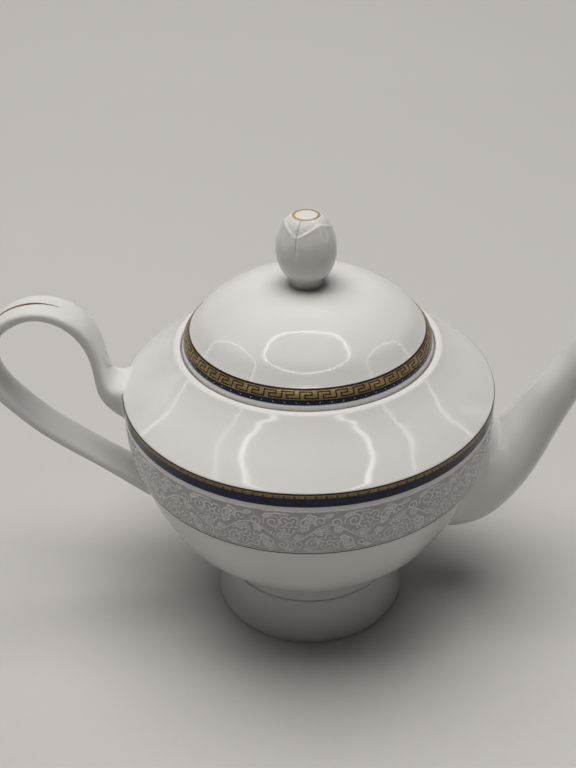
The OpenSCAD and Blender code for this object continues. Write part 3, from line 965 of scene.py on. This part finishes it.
# the strokes of one repeat, drawn from its lower left corner
def laceStrokes(plan):
    w, h = plan["tile"], plan["tall"]
    strokes = []
    vine = np.stack([np.linspace(0, w, 64), h / 2 + 4.6 * np.sin(np.linspace(0, 2 * np.pi, 64))], 1)
    strokes.append(vine)
    strokes += comb(vine, 0.02, 0.22, 7, 1.7, -1)
    strokes += comb(vine, 0.52, 0.72, 7, 1.7, 1)
    strokes += flower(7.9, 6.0, 4.7, 90)
    strokes += flower(23.6, 15.4, 4.7, -90)
    strokes.append(curl(17.2, 16.6, 3.7, 200, -1.6))
    strokes.append(curl(1.5, 5.2, 3.6, 20, 1.6))
    strokes.append(curl(14.7, 5.1, 3.2, 160, -1.5))
    strokes.append(curl(30.3, 16.4, 3.2, -20, 1.5))
    strokes.append(curl(10.2, 16.4, 2.6, 250, 1.4))
    strokes.append(curl(26.6, 4.9, 2.9, 110, 1.5))
    strokes.append(curl(20.8, 4.2, 2.4, 60, -1.3))
    strokes.append(curl(4.4, 17.4, 2.4, 240, -1.3))
    strokes.append(sweep((0, 1.2), (4, 0.2), (6, 0.6), (7.9, 1.0)))
    strokes.append(sweep((15.7, 20.4), (19, 21.3), (21, 20.9), (23.6, 20.6)))
    strokes += leaf(12.6, 9.6, -62, 5.0, 1.1) + leaf(28.4, 12.1, 62, 5.0, 1.1)
    strokes += leaf(19.6, 9.0, 12, 4.6, 1.0) + leaf(3.6, 12.8, -14, 4.6, 1.0)
    strokes += leaf(13.4, 19.0, 20, 4.0, 0.9) + leaf(29.0, 2.4, -20, 4.0, 0.9)
    strokes += flower(0.4, 18.6, 2.4, 30) + flower(15.8, 2.9, 2.3, -20)
    strokes += flower(11.2, 12.6, 1.7, 10) + flower(27.2, 8.9, 1.7, 40)
    strokes += leaf(5.0, 10.2, 140, 3.6, 0.9) + leaf(21.4, 11.6, -140, 3.6, 0.9)
    strokes += leaf(9.0, 20.4, -160, 3.6, 0.8) + leaf(24.8, 1.2, 165, 3.6, 0.8)
    strokes.append(sweep((2.6, 9.4), (1.6, 7.4), (3.0, 6.2), (4.0, 6.4)))
    strokes.append(sweep((18.6, 12.4), (17.4, 14.0), (19.2, 15.6), (20.0, 15.2)))
    strokes.append(sweep((11.6, 8.2), (13.4, 9.6), (14.8, 8.8), (16.2, 7.0)))
    strokes.append(sweep((27.4, 13.6), (29.0, 12.4), (30.4, 12.6), (31.4, 14.2)))
    seeds = [(11.6, 1.9), (12.4, 12.9), (27.6, 8.6), (20.2, 20.0), (7.4, 14.2), (23.2, 7.0), (0.9, 10.2),
             (16.4, 10.9), (7.9, 19.6), (23.6, 1.9), (18.3, 1.6), (2.2, 20.0)]
    strokes += [np.array([[a - 0.3, b], [a + 0.3, b]]) for a, b in seeds]
    return strokes


# one stroke as a closed raised bar of four sides: two at the foot, two narrower ones on top
def strokeBar(line, plan):
    n = filled(line, plan["step"])
    run = np.gradient(n, axis=0)
    run /= np.maximum(np.linalg.norm(run, axis=1), 1e-9)[:, None]
    out = np.stack([-run[:, 1], run[:, 0]], 1)
    half = plan["width"] / 2 * np.array([-1, -0.5, 0.5, 1])
    flat = n[:, None] + half[None, :, None] * out[:, None]
    lift = np.broadcast_to(np.array([-0.04, plan["relief"], plan["relief"], -0.04]), flat.shape[:2])
    faces = gridFaces(len(n), 4)
    caps = np.array([[0, 1, 2, 3], [3, 2, 1, 0]]) + [[0], [4 * len(n) - 4]]
    return np.concatenate([flat, lift[..., None]], 2).reshape(-1, 3), np.vstack([faces, caps])


# all strokes of one repeat, then every repeat round the bowl: u is distance round, v the share of the height
def makeLace(plan):
    bars = [strokeBar(line, plan) for line in laceStrokes(plan)]
    starts = np.cumsum([0] + [len(p) for p, f in bars])[:-1]
    points = np.vstack([p for p, f in bars])
    quads = np.vstack([f + s for (p, f), s in zip(bars, starts)])
    k = np.arange(plan["tiles"])[:, None]
    a = 2 * np.pi * (points[None, :, 0] / plan["tile"] + k) / plan["tiles"]
    v = np.clip(points[None, :, 1] / plan["tall"], 0.004, 0.996) + 0 * a
    around = onLine(upperLine, plan["heights"], v, a, bandPlan["lift"] + points[None, :, 2] + 0 * a)
    more = (np.arange(plan["tiles"]) * len(points))[:, None, None]
    skin = around.reshape(-1, 3), (quads[None] + more).reshape(-1, 4), np.zeros((0, 3), int)
    makePiece("lace_scrolls", skin, [enamel], "pot", sharpAngle=80)
    ground = bandSkin(upperLine, plan["heights"], 24, bandPlan["around"], bandPlan["lift"])
    makePiece("lace_ground", ground, [laceGrey], "pot", ["lace_band"])


makeLace(lacePlan)
print("lace made")


# studio: a pale sweep, two soft lamps and three rounded rings of light

studioPlan = {
    "sweep": [(-5000, -0.05, 0), (1300, -0.05, 700), (3000, 1900, 0)],
    "halfWidth": 5000,
    "floor": (0.53, 0.516, 0.50),
    "rings": [   # centre, half length, half height, roundness, brightness
        ((-10, -235, 900), 430, 400, 2.0, 5),
        ((-1000, -120, 560), 540, 500, 2.2, 2.5),
        ((980, -80, 600), 400, 380, 2.2, 2.5),
    ],
    "ringTube": 17,
    "lamps": [   # name, place, aim, sides in metres, watts, colour
        ("tentTop", (-170, 60, 2500), (-120, 40, 0), (2.1, 1.7), 78, (1.0, 0.97, 0.95)),
        ("tentLeft", (-1150, 350, 560), (0, 0, 90), (0.7, 0.7), 0.3, (1.0, 0.965, 0.94)),
    ],
    "air": (0.80, 0.775, 0.75),
    "airStrength": 0.04,
}


# floor and backdrop as one sheet: the flat, the bend and the slope behind, carried along x
def makeSweep(plan):
    line = filled(rounded(plan["sweep"], looped=False, steps=40), 60)
    x = np.linspace(-plan["halfWidth"], plan["halfWidth"], 24)
    grid = np.stack(np.broadcast_arrays(x[None], line[:, :1], line[:, 1:]), -1)
    mesh = bpy.data.meshes.new("sweep")
    faces = gridFaces(len(line), 24, columnsLooped=False)
    mesh.from_pydata((grid.reshape(-1, 3) * mm).tolist(), [], faces.tolist())
    finish, tree, shader, place = newFinish("sweepPaper")
    fibre = addNoise(tree, place, 260, 4, 0.6)
    pale = plan["floor"]
    shade = tuple(0.97 * c for c in pale)
    tree.links.new(addRamp(tree, fibre, [(0.3, shade), (0.7, pale)]), shader.inputs["Base Color"])
    tree.links.new(addRange(tree, fibre, 0.5, 0.62), shader.inputs["Roughness"])
    mesh.materials.append(finish)
    mesh.shade_smooth()
    sweepPiece = bpy.data.objects.new("sweep", mesh)
    scene.collection.objects.link(sweepPiece)


# ring of light: a tube round the superellipse |x|^n + |y|^n = 1, square to the line from its centre to
# the pot
def makeLightRing(plan, name, centre, halfLong, halfHigh, roundness, power):
    t = np.linspace(0, 2 * np.pi, 120, endpoint=False)[:, None]
    bend = 2 / roundness
    middle = np.array(centre, float)
    back = middle / np.linalg.norm(middle)
    side = np.cross([0, 1.0, 0] if abs(back[1]) < 0.6 else [1.0, 0, 0], back)
    side /= np.linalg.norm(side)
    over = np.cross(back, side)
    b = np.linspace(0, 2 * np.pi, 8, endpoint=False)[None]
    reach = 1 + plan["ringTube"] / halfLong * np.cos(b)
    u = halfLong * np.sign(np.cos(t)) * np.abs(np.cos(t)) ** bend * reach
    v = halfHigh * np.sign(np.sin(t)) * np.abs(np.sin(t)) ** bend * reach
    w = plan["ringTube"] * np.sin(b) + 0 * t
    grid = middle + u[..., None] * side + v[..., None] * over + w[..., None] * back
    mesh = bpy.data.meshes.new(name)
    mesh.from_pydata((grid.reshape(-1, 3) * mm).tolist(), [], gridFaces(120, 8, rowsLooped=True).tolist())
    glow = bpy.data.materials.new(name + "Glow")
    glow.use_nodes = True
    nodes = glow.node_tree.nodes
    nodes.remove(next(n for n in nodes if n.type == "BSDF_PRINCIPLED"))
    lamp = nodes.new("ShaderNodeEmission")
    lamp.inputs["Color"].default_value = (1.0, 0.96, 0.92, 1)
    lamp.inputs["Strength"].default_value = power
    out = next(n for n in nodes if n.type == "OUTPUT_MATERIAL")
    glow.node_tree.links.new(lamp.outputs["Emission"], out.inputs["Surface"])
    mesh.materials.append(glow)
    ring = bpy.data.objects.new(name, mesh)
    scene.collection.objects.link(ring)
    ring.visible_camera = False
    ring.visible_diffuse = False    # it makes the highlight only


# a soft lamp with four sides that faces a point
def addLamp(name, place, aim, size, watts, color):
    data = bpy.data.lights.new(name, "AREA")
    data.shape = "RECTANGLE"
    data.size, data.size_y = size
    data.energy = watts
    data.color = color
    lamp = bpy.data.objects.new(name, data)
    away = np.array(place, float) - np.array(aim, float)
    away /= np.linalg.norm(away)
    right = np.cross([0, 1.0, 0.001], away)
    right /= np.linalg.norm(right)
    turn = Matrix([list(row) for row in np.stack([right, np.cross(away, right), away], 1)])
    lamp.matrix_world = Matrix.Translation(np.array(place) * mm) @ turn.to_4x4()
    lamp.visible_glossy = False     # the rings of light make the highlights
    scene.collection.objects.link(lamp)


makeSweep(studioPlan)
for name, ringPlan in zip(("ringAbove", "ringLeft", "ringRight"), studioPlan["rings"]):
    makeLightRing(studioPlan, name, *ringPlan)
for lampPlan in studioPlan["lamps"]:
    addLamp(*lampPlan)
world = bpy.data.worlds.new("tent")
world.use_nodes = True
air = world.node_tree.nodes["Background"].inputs
air["Color"].default_value = (*studioPlan["air"], 1)
air["Strength"].default_value = studioPlan["airStrength"]
scene.world = world
scene.view_settings.view_transform = "Standard"
print("studio made")

bpy.context.view_layer.update()
